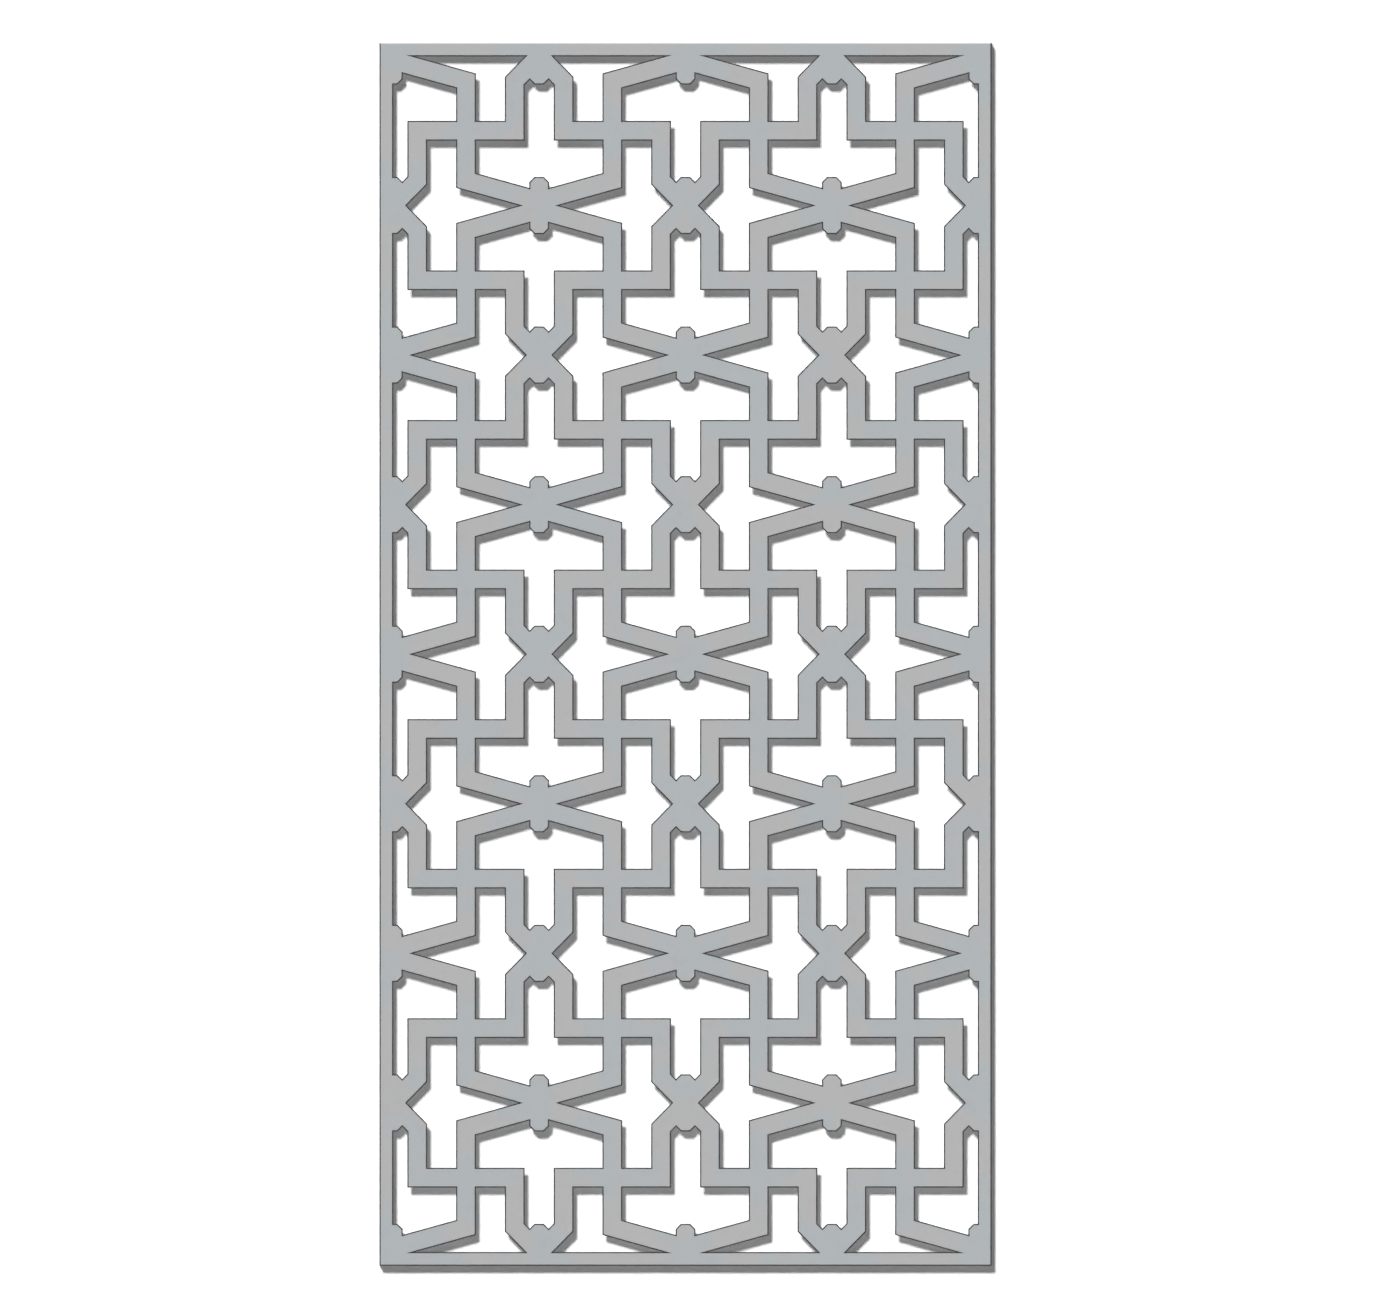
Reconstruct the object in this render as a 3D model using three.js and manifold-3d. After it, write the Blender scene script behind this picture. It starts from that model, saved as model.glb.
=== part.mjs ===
// Laser-cut metal screen: one flat sheet with a fretwork lattice, carried on a hidden frame.
//
// The sheet's border covers a frame of four mitred steel angles. Threaded studs welded to the back
// of the sheet pass through the angles' front flanges, and a flange nut on each stud clamps sheet
// and frame together. L plates bridge the mitres. The side flanges have holes for the screws that
// hold the screen between posts or in a reveal. Nothing of this shows from the front.
//
// Millimetres, +Z up. The front of the sheet faces -Y, and the origin is the middle of the screen's
// footprint at its lowest edge.

import * as THREE from 'three';
import { mergeVertices } from 'three/addons/utils/BufferGeometryUtils.js';
import Module from 'manifold-3d';

const wasm = await Module();
wasm.setup();

// ---------------------------------------------------------------- driving sizes

// Sheet: a stock 4 ft by 8 ft sheet
const sheet_width = 1220;
const sheet_height = 2438;
const sheet_thickness = 3;
const border_width = 27.5;

// Lattice: a grid of cells between node lines, with two Z-shaped bars crossing in each cell
const columns = 4;
const rows = 8;
const node_margin = 26.6;        // sheet edge to the outermost node lines
const bar_width = 39.5;
const leg_offset = 48.7;         // node column to the upright leg beside a crossed node
const knee_rise = 49.7;          // node row to the point where a sloping stretch turns upright
const slant_start = 9.1;         // height of a slanted bar's centre line above its own node row
const nub_length = 114;          // short upright bar through every node
const nub_chamfer = 10.5;

// Frame: equal angle, flush with the sheet's edges, with its heel at the outer, front edge
const angle_leg = 25;
const angle_wall = 3;
const angle_root_radius = 3.5;
const angle_toe_radius = 1;
const mitre_gap = 0.4;

// Corner plates, flat on the angles' front flanges
const plate_arm = 95;
const plate_thickness = 3;
const plate_corner_radius = 4;
const plate_clearance = 0.5;     // plate edge to the end of the angle's root fillet

// Studs and nuts, M5
const stud_radius = 2.4;
const stud_collar_radius = 3.25;
const stud_collar_height = 0.9;
const stud_tip_chamfer = 0.6;
const stud_tail = 2;             // thread showing past the nut
const stud_hole_clearance = 0.5;
const thread_gap = 0.3;
const nut_across_flats = 8;
const nut_height = 5;
const nut_flange_radius = 5.9;
const nut_flange_height = 1.3;
const nut_flange_rim = 0.6;
const corner_stud_distance = 62; // angle's mitred outer end to the nearest stud
const upright_studs = 7;
const rail_studs = 4;

// Fixing holes in the side flanges, midway between studs
const fixing_hole_radius = 3.25;
const fixing_hole_depth = 14;    // angle's heel to the hole's centre

// Facets
const hole_sides = 12;
const stud_sides = 12;
const nut_flange_sides = 12;
const fillet_steps = 4;
const cutter_overrun = 2;        // cutting solids run this far past what they cut

// ---------------------------------------------------------------- places that follow from the sizes

const total_depth = sheet_thickness + angle_leg;
const sheet_front = -total_depth / 2;
const sheet_back = sheet_front + sheet_thickness;

const cell_width = (sheet_width - 2 * node_margin) / columns;
const cell_height = (sheet_height - 2 * node_margin) / rows;

const mid_height = sheet_height / 2;

// The flat of a flange runs from the end of the root fillet to the toe, and the studs sit midway.
const flange_flat_start = angle_wall + angle_root_radius;
const stud_line = (flange_flat_start + angle_leg) / 2;

// ---------------------------------------------------------------- materials

const sheet_finish = new THREE.MeshStandardMaterial({ color: 0xb2b5b6, roughness: 0.42, metalness: 0.85 });
const angle_finish = new THREE.MeshStandardMaterial({ color: 0x9fa2a3, roughness: 0.55, metalness: 0.75 });
const plate_finish = new THREE.MeshStandardMaterial({ color: 0xa9abab, roughness: 0.5, metalness: 0.8 });
const stud_finish = new THREE.MeshStandardMaterial({ color: 0xb08a62, roughness: 0.35, metalness: 1 });
const nut_finish = new THREE.MeshStandardMaterial({ color: 0xc6c8ca, roughness: 0.3, metalness: 1 });

// ---------------------------------------------------------------- solids

// A closed three.js geometry as a solid that can be joined and cut.
function solid(geometry) {
  const bare = geometry.index ? geometry.toNonIndexed() : geometry.clone();
  bare.deleteAttribute('normal');
  bare.deleteAttribute('uv');
  const merged = mergeVertices(bare, 1e-4);
  return new wasm.Manifold(new wasm.Mesh({
    numProp: 3,
    vertProperties: new Float32Array(merged.attributes.position.array),
    triVerts: new Uint32Array(merged.index.array),
  }));
}

function geometryOf(body) {
  const mesh = body.getMesh();
  const geometry = new THREE.BufferGeometry();
  geometry.setAttribute('position', new THREE.BufferAttribute(new Float32Array(mesh.vertProperties), 3));
  geometry.setIndex(new THREE.BufferAttribute(new Uint32Array(mesh.triVerts), 1));
  geometry.computeVertexNormals();
  return geometry;
}

// A flat outline in X and Z, given as [x, z] points, made solid from y = front to y = back.
function slab(outline, front, back) {
  const shape = new THREE.Shape(outline.map(([x, z]) => new THREE.Vector2(x, z)));
  const geometry = new THREE.ExtrudeGeometry(shape, { depth: back - front, bevelEnabled: false });
  geometry.rotateX(Math.PI / 2);
  geometry.translate(0, back, 0);
  return geometry;
}

function rectangle(x_low, x_high, z_low, z_high) {
  return [[x_low, z_low], [x_high, z_low], [x_high, z_high], [x_low, z_high]];
}

// A round hole or pin along Y, from y = front to y = back.
function roundAlongY(x, z, radius, front, back, sides = hole_sides) {
  const geometry = new THREE.CylinderGeometry(radius, radius, back - front, sides);
  geometry.translate(x, (front + back) / 2, z);
  return geometry;
}

// ---------------------------------------------------------------- the laser-cut sheet

const bar_overlap = 10;          // bars run this far past a node, inside its upright nub

// A bar of constant width along a bent centre line, with mitred bends.
function barOutline(path, width) {
  const points = path.map(([x, z]) => new THREE.Vector2(x, z));
  const along = points.slice(1).map((point, k) => point.clone().sub(points[k]).normalize());
  const left = [];
  const right = [];
  points.forEach((point, k) => {
    const before = along[Math.max(k - 1, 0)];
    const after = along[Math.min(k, along.length - 1)];
    const across = new THREE.Vector2(-before.y - after.y, before.x + after.x).normalize();
    const reach = width / 2 / across.dot(new THREE.Vector2(-before.y, before.x));
    left.push([point.x + across.x * reach, point.y + across.y * reach]);
    right.unshift([point.x - across.x * reach, point.y - across.y * reach]);
  });
  return [...left, ...right];
}

// Lengthens both ends of a centre line by the same amount.
function runOn(path, extra) {
  const lengthened = ([x, z], [x_next, z_next]) => {
    const share = extra / Math.hypot(x - x_next, z - z_next);
    return [x + (x - x_next) * share, z + (z - z_next) * share];
  };
  const last = path.length - 1;
  return [lengthened(path[0], path[1]), ...path.slice(1, last), lengthened(path[last], path[last - 1])];
}

// The two bars of one cell, about its centre. The slanted bar leaves a plain node gently, runs
// upright through the centre and slants on to the opposite node. The stepped bar leaves a crossed
// node diagonally, turns up its leg and crosses the centre level. mirror is 1 or -1.
function cellBars(mirror) {
  const half_w = cell_width / 2;
  const half_h = cell_height / 2;
  const slanted = [
    [-half_w, half_h - slant_start],
    [0, half_h - knee_rise],
    [0, knee_rise - half_h],
    [half_w, slant_start - half_h],
  ];
  const stepped = [
    [-half_w, -half_h],
    [leg_offset - half_w, knee_rise - half_h],
    [leg_offset - half_w, 0],
    [half_w - leg_offset, 0],
    [half_w - leg_offset, half_h - knee_rise],
    [half_w, half_h],
  ];
  return [slanted, stepped].map((path) => {
    const centre_line = runOn(path, bar_overlap).map(([x, z]) => [x * mirror, z]);
    return barOutline(centre_line, bar_width);
  });
}

// The short upright bar through a node, with its corners cut off.
function nubOutline() {
  const half_w = bar_width / 2;
  const half_l = nub_length / 2;
  const c = nub_chamfer;
  return [
    [-half_w, c - half_l], [c - half_w, -half_l], [half_w - c, -half_l], [half_w, c - half_l],
    [half_w, half_l - c], [half_w - c, half_l], [c - half_w, half_l], [-half_w, half_l - c],
  ];
}

function latticeSheet() {
  const front = sheet_front - cutter_overrun;
  const back = sheet_back + cutter_overrun;
  const nodeX = (column) => (column - columns / 2) * cell_width;
  const nodeZ = (row) => mid_height + (rows / 2 - row) * cell_height;
  const shifted = (outline, x, z) => outline.map(([dx, dz]) => [x + dx, z + dz]);

  const bars = [];
  for (let column = 0; column < columns; column += 1) {
    for (let row = 0; row < rows; row += 1) {
      const x = nodeX(column + 0.5);
      const z = nodeZ(row + 0.5);
      const mirror = (column + row) % 2 === 0 ? 1 : -1;
      cellBars(mirror).forEach((outline) => bars.push(slab(shifted(outline, x, z), front, back)));
    }
  }
  for (let column = 0; column <= columns; column += 1) {
    for (let row = 0; row <= rows; row += 1) {
      bars.push(slab(shifted(nubOutline(), nodeX(column), nodeZ(row)), front, back));
    }
  }
  const lattice = bars.map(solid).reduce((whole, bar) => whole.add(bar));

  const inner_half = sheet_width / 2 - border_width;
  const window_outline = rectangle(-inner_half, inner_half, border_width, sheet_height - border_width);
  const offcuts = solid(slab(window_outline, front, back)).subtract(lattice);
  const outline = rectangle(-sheet_width / 2, sheet_width / 2, 0, sheet_height);
  return geometryOf(solid(slab(outline, sheet_front, sheet_back)).subtract(offcuts));
}

// ---------------------------------------------------------------- the frame of angles

// Section of the angle. x is the distance inwards from its outer face, y the distance backwards
// from the sheet. The root fillet and the toes are round on the inner side only.
function angleSection() {
  const toe = angle_leg - angle_toe_radius;
  const toe_face = angle_wall - angle_toe_radius;
  const section = new THREE.Shape();
  section.moveTo(0, 0);
  section.lineTo(angle_leg, 0);
  section.absarc(toe, toe_face, angle_toe_radius, 0, Math.PI / 2);
  section.absarc(flange_flat_start, flange_flat_start, angle_root_radius, -Math.PI / 2, -Math.PI, true);
  section.absarc(toe_face, toe, angle_toe_radius, 0, Math.PI / 2);
  section.lineTo(0, angle_leg);
  return section;
}

// Places of the studs along an angle, measured from its middle.
function studPlaces(length, count) {
  const first = corner_stud_distance - length / 2;
  const pitch = (length - 2 * corner_stud_distance) / (count - 1);
  return Array.from({ length: count }, (_, k) => first + k * pitch);
}

// One angle, upright about its middle, with its outer face at x = 0 and its front flange's face at
// y = 0. Its ends are mitred. It has a hole for each stud and one for a fixing screw between studs.
function angleGeometry(length, places) {
  const prism = new THREE.ExtrudeGeometry(angleSection(), {
    depth: length,
    curveSegments: fillet_steps,
    bevelEnabled: false,
  });
  prism.translate(0, 0, -length / 2);

  const setback = (mitre_gap / 2) * Math.SQRT2;
  const outer_end = length / 2 + cutter_overrun - setback;
  const inner_end = length / 2 - angle_leg - cutter_overrun - setback;
  const mitres = [
    [-cutter_overrun, -outer_end],
    [angle_leg + cutter_overrun, -inner_end],
    [angle_leg + cutter_overrun, inner_end],
    [-cutter_overrun, outer_end],
  ];
  let body = solid(prism).intersect(solid(slab(mitres, -cutter_overrun, angle_leg + cutter_overrun)));

  const hole_end = angle_wall + cutter_overrun;
  places.forEach((z) => {
    const radius = stud_collar_radius + stud_hole_clearance;
    body = body.subtract(solid(roundAlongY(stud_line, z, radius, -cutter_overrun, hole_end)));
  });
  places.slice(1).forEach((z, k) => {
    const hole = new THREE.CylinderGeometry(
      fixing_hole_radius, fixing_hole_radius, hole_end + cutter_overrun, hole_sides,
    );
    hole.rotateZ(Math.PI / 2);
    hole.translate(angle_wall / 2, fixing_hole_depth, (z + places[k]) / 2);
    body = body.subtract(solid(hole));
  });
  return geometryOf(body);
}

// ---------------------------------------------------------------- corner plates

// Flat L plate over a mitre. x and z are the distances inwards from the two angles' outer faces, and
// y = 0 is the sheet's back. The arms' ends are rounded, and so is the inner corner.
function cornerPlateGeometry() {
  const near = flange_flat_start + plate_clearance;
  const far = angle_leg;
  const r = plate_corner_radius;
  const shape = new THREE.Shape();
  shape.moveTo(near, near);
  shape.lineTo(plate_arm - r, near);
  shape.absarc(plate_arm - r, near + r, r, -Math.PI / 2, 0);
  shape.absarc(plate_arm - r, far - r, r, 0, Math.PI / 2);
  shape.absarc(far + r, far + r, r, -Math.PI / 2, -Math.PI, true);
  shape.absarc(far - r, plate_arm - r, r, 0, Math.PI / 2);
  shape.absarc(near + r, plate_arm - r, r, Math.PI / 2, Math.PI);
  [[corner_stud_distance, stud_line], [stud_line, corner_stud_distance]].forEach(([x, z]) => {
    const hole = new THREE.Path();
    hole.absarc(x, z, stud_radius + stud_hole_clearance, 0, 2 * Math.PI);
    shape.holes.push(hole);
  });
  const geometry = new THREE.ExtrudeGeometry(shape, {
    depth: plate_thickness,
    curveSegments: fillet_steps,
    bevelEnabled: false,
  });
  geometry.rotateX(Math.PI / 2);
  geometry.translate(0, angle_wall + plate_thickness, 0);
  return geometry;
}

// ---------------------------------------------------------------- studs and nuts

// Weld stud along +Y from the sheet's back: a collar at the weld, and a shank that passes through
// what the nut clamps, the nut, and a little more.
function studGeometry(clamped) {
  const length = clamped + nut_height + stud_tail;
  const profile = [
    [0, 0],
    [stud_collar_radius, 0],
    [stud_collar_radius, stud_collar_height],
    [stud_radius, stud_collar_height],
    [stud_radius, length - stud_tip_chamfer],
    [stud_radius - stud_tip_chamfer, length],
    [0, length],
  ];
  return new THREE.LatheGeometry(profile.map(([x, y]) => new THREE.Vector2(x, y)), stud_sides);
}

// Hexagon flange nut along +Y from its seat.
function nutGeometry() {
  const bore_radius = stud_radius + thread_gap;
  const corner_radius = nut_across_flats / Math.sqrt(3);
  const hexagon = Array.from({ length: 6 }, (_, k) => {
    const turn = (k * Math.PI) / 3;
    return [corner_radius * Math.cos(turn), corner_radius * Math.sin(turn)];
  });
  const rim = solid(roundAlongY(0, 0, nut_flange_radius, 0, nut_flange_rim, nut_flange_sides));
  const slope_height = nut_flange_height - nut_flange_rim;
  const slope = new THREE.CylinderGeometry(corner_radius, nut_flange_radius, slope_height, nut_flange_sides);
  slope.translate(0, nut_flange_rim + slope_height / 2, 0);
  const bore = roundAlongY(0, 0, bore_radius, -cutter_overrun, nut_height + cutter_overrun, stud_sides);
  return geometryOf(solid(slab(hexagon, 0, nut_height)).add(rim).add(solid(slope)).subtract(solid(bore)));
}

// ---------------------------------------------------------------- assembly

const screen = new THREE.Group();

function addPiece(parent, name, geometry, finish, x = 0, y = 0, z = 0) {
  const piece = new THREE.Mesh(geometry, finish);
  piece.name = name;
  piece.position.set(x, y, z);
  parent.add(piece);
}

addPiece(screen, 'lattice_sheet', latticeSheet(), sheet_finish);

// Each side is a group with x inwards from the angle's outer face and z along the angle.
const sides = [
  { name: 'left', at: [-sheet_width / 2, mid_height], turn: 0, length: sheet_height, studs: upright_studs },
  { name: 'right', at: [sheet_width / 2, mid_height], turn: 2, length: sheet_height, studs: upright_studs },
  { name: 'bottom', at: [0, 0], turn: -1, length: sheet_width, studs: rail_studs },
  { name: 'top', at: [0, sheet_height], turn: 1, length: sheet_width, studs: rail_studs },
];
const nut_geometry = nutGeometry();
sides.forEach(({ name, at: [x, z], turn, length, studs }) => {
  const side = new THREE.Group();
  side.position.set(x, sheet_back, z);
  side.rotation.y = (turn * Math.PI) / 2;
  const places = studPlaces(length, studs);
  addPiece(side, `${name}_angle`, angleGeometry(length, places), angle_finish);
  places.forEach((place, k) => {
    const at_corner = k === 0 || k === places.length - 1;
    const clamped = at_corner ? angle_wall + plate_thickness : angle_wall;
    addPiece(side, `${name}_stud_${k + 1}`, studGeometry(clamped), stud_finish, stud_line, 0, place);
    addPiece(side, `${name}_nut_${k + 1}`, nut_geometry, nut_finish, stud_line, clamped, place);
  });
  screen.add(side);
});

// Each corner is a group with x and z inwards from the two angles' outer faces.
const corners = [
  { name: 'bottom_left', across: -1, up: -1, turn: 0 },
  { name: 'bottom_right', across: 1, up: -1, turn: -1 },
  { name: 'top_right', across: 1, up: 1, turn: 2 },
  { name: 'top_left', across: -1, up: 1, turn: 1 },
];
const plate_geometry = cornerPlateGeometry();
corners.forEach(({ name, across, up, turn }) => {
  const corner = new THREE.Group();
  corner.position.set(across * sheet_width / 2, sheet_back, mid_height + up * sheet_height / 2);
  corner.rotation.y = (turn * Math.PI) / 2;
  addPiece(corner, `corner_plate_${name}`, plate_geometry, plate_finish);
  screen.add(corner);
});

export default screen;
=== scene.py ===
import math

import bmesh
import bpy
from mathutils import Matrix, Vector


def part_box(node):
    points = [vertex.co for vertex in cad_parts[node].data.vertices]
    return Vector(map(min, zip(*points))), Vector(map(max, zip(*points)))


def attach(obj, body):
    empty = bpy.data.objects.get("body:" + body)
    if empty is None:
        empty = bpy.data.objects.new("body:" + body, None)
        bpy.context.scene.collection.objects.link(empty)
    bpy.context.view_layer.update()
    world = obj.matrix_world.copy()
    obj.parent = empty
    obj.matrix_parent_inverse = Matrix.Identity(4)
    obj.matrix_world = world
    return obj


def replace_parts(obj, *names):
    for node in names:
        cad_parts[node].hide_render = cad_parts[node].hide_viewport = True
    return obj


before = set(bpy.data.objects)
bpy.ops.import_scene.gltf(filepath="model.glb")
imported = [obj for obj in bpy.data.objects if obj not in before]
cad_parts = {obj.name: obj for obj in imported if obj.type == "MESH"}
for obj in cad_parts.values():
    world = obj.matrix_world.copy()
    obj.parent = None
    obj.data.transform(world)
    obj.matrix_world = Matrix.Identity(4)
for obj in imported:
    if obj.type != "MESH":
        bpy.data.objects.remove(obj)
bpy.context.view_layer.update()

# ---------------------------------------------------------------- lattice sheet
# The face of the screen: one 3 mm steel sheet, laser cut into a fretwork of two Z-shaped bars
# crossing in every cell, inside a plain border. The face is satin and lacquered. The cut edges are
# slightly rounded, and painted near-black: partly the oxide that the laser leaves, partly painted
# shade along every edge. The top edge is sheared and stays bright.

sheet_low, sheet_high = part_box("lattice_sheet")
SHEET_WIDTH = sheet_high.x - sheet_low.x
SHEET_HEIGHT = sheet_high.z - sheet_low.z
BORDER_WIDTH = 0.0275
NODE_MARGIN = 0.0266  # sheet edge to the outermost node lines
COLUMNS = 4
ROWS = 8
BAR_WIDTH = 0.0395
LEG_OFFSET = 0.0487  # node column to the upright leg beside a crossed node
KNEE_RISE = 0.0497  # node row to the point where a sloping stretch turns upright
SLANT_START = 0.0091  # height of a slanted bar's centre line above its own node row
NUB_REACH = 0.057  # half the length of the short upright bar through every node
NUB_CHAMFER = 0.0105
FRONT_EDGE = (0.0024, 0.0004)  # how far the rounding reaches over the face, and how far it falls
BACK_EDGE = (0.0008, 0.0003)

CELL_WIDTH = (SHEET_WIDTH - 2 * NODE_MARGIN) / COLUMNS
CELL_HEIGHT = (SHEET_HEIGHT - 2 * NODE_MARGIN) / ROWS
SAME_POINT = 1e-5
SOCKETS = {"specular_ior_level": "Specular IOR Level"}


class Wire:
    """A node's socket that takes part in Python arithmetic, by adding Math nodes."""

    def __init__(self, bench, socket):
        self.bench = bench
        self.socket = socket

    def maths(self, operation, *values):
        return self.bench.node("ShaderNodeMath", {"operation": operation}, dict(enumerate(values)))

    def __add__(self, other):
        return self.maths("ADD", self, other)

    def __radd__(self, other):
        return self.maths("ADD", other, self)

    def __sub__(self, other):
        return self.maths("SUBTRACT", self, other)

    def __rsub__(self, other):
        return self.maths("SUBTRACT", other, self)

    def __mul__(self, other):
        return self.maths("MULTIPLY", self, other)

    def __rmul__(self, other):
        return self.maths("MULTIPLY", other, self)

    def __truediv__(self, other):
        return self.maths("DIVIDE", self, other)

    def __mod__(self, other):
        return self.maths("FLOORED_MODULO", self, other)

    def __lt__(self, other):
        return self.maths("LESS_THAN", self, other)

    def rounded(self):
        return self.maths("ROUND", self)

    def cosine(self):
        return self.maths("COSINE", self)


class Bench:
    """A node tree under construction. node() adds any node and gives back one of its outputs."""

    def __init__(self, tree):
        self.tree = tree

    def node(self, kind, settings=None, values=None, output=0):
        made = self.tree.nodes.new(kind)
        for name, setting in (settings or {}).items():
            setattr(made, name, setting)
        for socket, value in (values or {}).items():
            self.join(value, made.inputs[socket])
        return Wire(self, made.outputs[output])

    def join(self, value, socket):
        if isinstance(value, Wire):
            self.tree.links.new(value.socket, socket)
        else:
            socket.default_value = value

    def ease(self, value, low, high):
        """0 below low, 1 above high, and smooth between."""
        values = {"Value": value, "From Min": low, "From Max": high}
        return self.node("ShaderNodeMapRange", {"interpolation_type": "SMOOTHSTEP"}, values)


class Finish(Bench):
    """A material under construction, around its Principled shader."""

    def __init__(self, name):
        self.material = bpy.data.materials.new(name)
        self.material.use_nodes = True
        super().__init__(self.material.node_tree)

    def place(self, stretch=(1, 1, 1)):
        """The point's place on the object. A larger number makes a pattern finer that way."""
        here = self.node("ShaderNodeTexCoord", output="Object")
        return self.node("ShaderNodeVectorMath", {"operation": "MULTIPLY"}, {0: here, 1: stretch})

    def noise(self, place, scale, detail=2.0, rough=0.5):
        values = {"Vector": place, "Scale": scale, "Detail": detail, "Roughness": rough}
        return self.node("ShaderNodeTexNoise", values=values)

    def mix(self, share, colour, other):
        """A colour on its way to another one."""
        values = {0: share, 6: colour, 7: other}
        for socket in (6, 7):
            if isinstance(values[socket], tuple):
                values[socket] = (*values[socket], 1.0)
        return self.node("ShaderNodeMix", {"data_type": "RGBA"}, values, output=2)

    def relief(self, height, depth):
        return self.node("ShaderNodeBump", values={"Height": height, "Distance": depth})

    def surface(self, **values):
        """Sets the shader's own sockets, named in lower case with underscores for spaces."""
        shader = self.tree.nodes["Principled BSDF"]
        for name, value in values.items():
            if isinstance(value, tuple) and len(value) == 3:
                value = (*value, 1.0)
            self.join(value, shader.inputs[SOCKETS.get(name, name.replace("_", " ").title())])
        return self.material


NEUTRAL_STEEL = (0.417, 0.413, 0.411)
COOL_STEEL = (0.389, 0.418, 0.433)
LATTICE_TINT = 0.07  # how far the lattice, and not chance, decides where the steel is cool


def satin_steel():
    """Cold-rolled face, brushed upright, under satin lacquer.

    It mostly has a cool cast where the metal is broad, at the nodes and crossings. The narrow bars
    took up more of the laser's heat, and are more often neutral."""
    steel = Finish("satin_steel")
    x = steel.node("ShaderNodeSeparateXYZ", values={0: steel.place()}, output="X")
    z = steel.node("ShaderNodeSeparateXYZ", values={0: steel.place()}, output="Z")
    across = (x * (2 * math.pi / CELL_WIDTH)).cosine()
    upwards = ((z - (sheet_low.z + sheet_high.z) / 2) * (2 * math.pi / CELL_HEIGHT)).cosine()
    patches = steel.noise(steel.place(), 5, detail=4, rough=0.7) + LATTICE_TINT * across * upwards
    strokes = steel.noise(steel.place((1, 1, 0.012)), 1500, detail=3, rough=0.7)
    handling = steel.noise(steel.place(), 26, detail=5, rough=0.65)
    tone = steel.mix(steel.ease(patches, 0.45, 0.57), NEUTRAL_STEEL, COOL_STEEL)
    brushed = steel.mix(steel.ease(strokes, 0.3, 0.75) * 0.3, tone, (0.447, 0.455, 0.461))
    handled = steel.mix(steel.ease(handling, 0.5, 0.8) * 0.35, brushed, (0.357, 0.364, 0.371))
    return steel.surface(
        base_color=handled,
        metallic=0.35,
        roughness=0.36 + 0.05 * strokes + 0.06 * handling,
        normal=steel.relief(strokes, 0.00002),
    )


def laser_cut_edge():
    """Cut edge: dull dark oxide and painted shade, with the fine lines that the laser leaves
    through the sheet.
    """
    edge = Finish("laser_cut_edge")
    lines = edge.noise(edge.place((1, 0.05, 1)), 2600, detail=2, rough=0.6)
    heat = edge.noise(edge.place(), 90, detail=3)
    # near-black: the oxide of the cut, and painted shade along every edge of the fretwork
    oxide_and_painted_shade = edge.mix(edge.ease(lines, 0.3, 0.75), (0.022, 0.022, 0.023), (0.042, 0.041, 0.040))
    stained = edge.mix(edge.ease(heat, 0.5, 0.75) * 0.5, oxide_and_painted_shade, (0.040, 0.033, 0.031))
    return edge.surface(
        base_color=stained,
        specular_ior_level=0.25,
        roughness=0.58 + 0.1 * lines,
        normal=edge.relief(lines, 0.00005),
    )


def piece_from(name, mesh, materials):
    """A new piece of the screen: it rides on the only body and takes the given finishes."""
    made = bpy.data.objects.new(name, mesh)
    bpy.context.scene.collection.objects.link(made)
    if not mesh.materials:
        for material in materials:
            mesh.materials.append(material)
    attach(made, "root")
    return made


def meeting(line, other):
    """The point where two lines meet. A line is a point on it and its direction."""
    (start, along), (other_start, other_along) = line, other
    turn = along.x * other_along.y - along.y * other_along.x
    gap = other_start - start
    return start + along * ((gap.x * other_along.y - gap.y * other_along.x) / turn)


def beside(start, end, distance):
    """The line from start to end, moved to its left."""
    along = (end - start).normalized()
    return start + Vector((-along.y, along.x)) * distance, along


def half_cell_outline():
    """Half of the outline of the metal in one cell, seen from the front, about the cell's centre.

    It runs clockwise from the plain node at the top left to just before the one at the bottom
    right, and the other half is the same turned half round."""
    side, top = CELL_WIDTH / 2, CELL_HEIGHT / 2
    half_bar = BAR_WIDTH / 2
    plain_node, crossed_node = Vector((-side, top)), Vector((side, top))
    across, upwards = Vector((1, 0)), Vector((0, 1))

    slant_from, slant_to = Vector((-side, top - SLANT_START)), Vector((0, top - KNEE_RISE))
    leg_top = Vector((side - LEG_OFFSET, top - KNEE_RISE))
    slant_upper = beside(slant_from, slant_to, half_bar)
    far_slant_upper = beside(-slant_to, -slant_from, half_bar)
    diagonal_upper = beside(leg_top, crossed_node, half_bar)
    diagonal_lower = beside(leg_top, crossed_node, -half_bar)
    cell_top = (crossed_node, across)
    upright_right = (Vector((half_bar, 0)), upwards)
    level_top = (Vector((0, half_bar)), across)
    level_bottom = (Vector((0, -half_bar)), across)
    leg_left = (leg_top - across * half_bar, upwards)
    leg_right = (leg_top + across * half_bar, upwards)

    flat = half_bar - NUB_CHAMFER
    nub_end, far_nub_end = top - NUB_REACH, NUB_REACH - top
    nub_chamfer = (Vector((side - flat, nub_end)), Vector((-1, 1)))
    nub_side = (Vector((side - half_bar, 0)), upwards)
    return [
        plain_node,
        meeting(slant_upper, cell_top),
        meeting(slant_upper, upright_right),
        meeting(upright_right, level_top),
        meeting(level_top, leg_left),
        meeting(leg_left, diagonal_upper),
        meeting(diagonal_upper, cell_top),
        crossed_node,
        Vector((side, nub_end)),
        Vector((side - flat, nub_end)),
        meeting(nub_chamfer, diagonal_lower),
        meeting(diagonal_lower, leg_right),
        meeting(leg_right, level_bottom),
        meeting(level_bottom, upright_right),
        meeting(upright_right, far_slant_upper),
        meeting(far_slant_upper, nub_side),
        Vector((side - half_bar, far_nub_end - NUB_CHAMFER)),
        Vector((side - flat, far_nub_end)),
        Vector((side, far_nub_end)),
    ]


def cell_mesh():
    """The metal of one cell as a single flat face in X and Y, facing +Z."""
    half = half_cell_outline()
    outline = half + [-point for point in half]
    mesh = bpy.data.meshes.new("cell")
    mesh.from_pydata([(x, y, 0) for x, y in reversed(outline)], [], [range(len(outline))])
    return mesh


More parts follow.
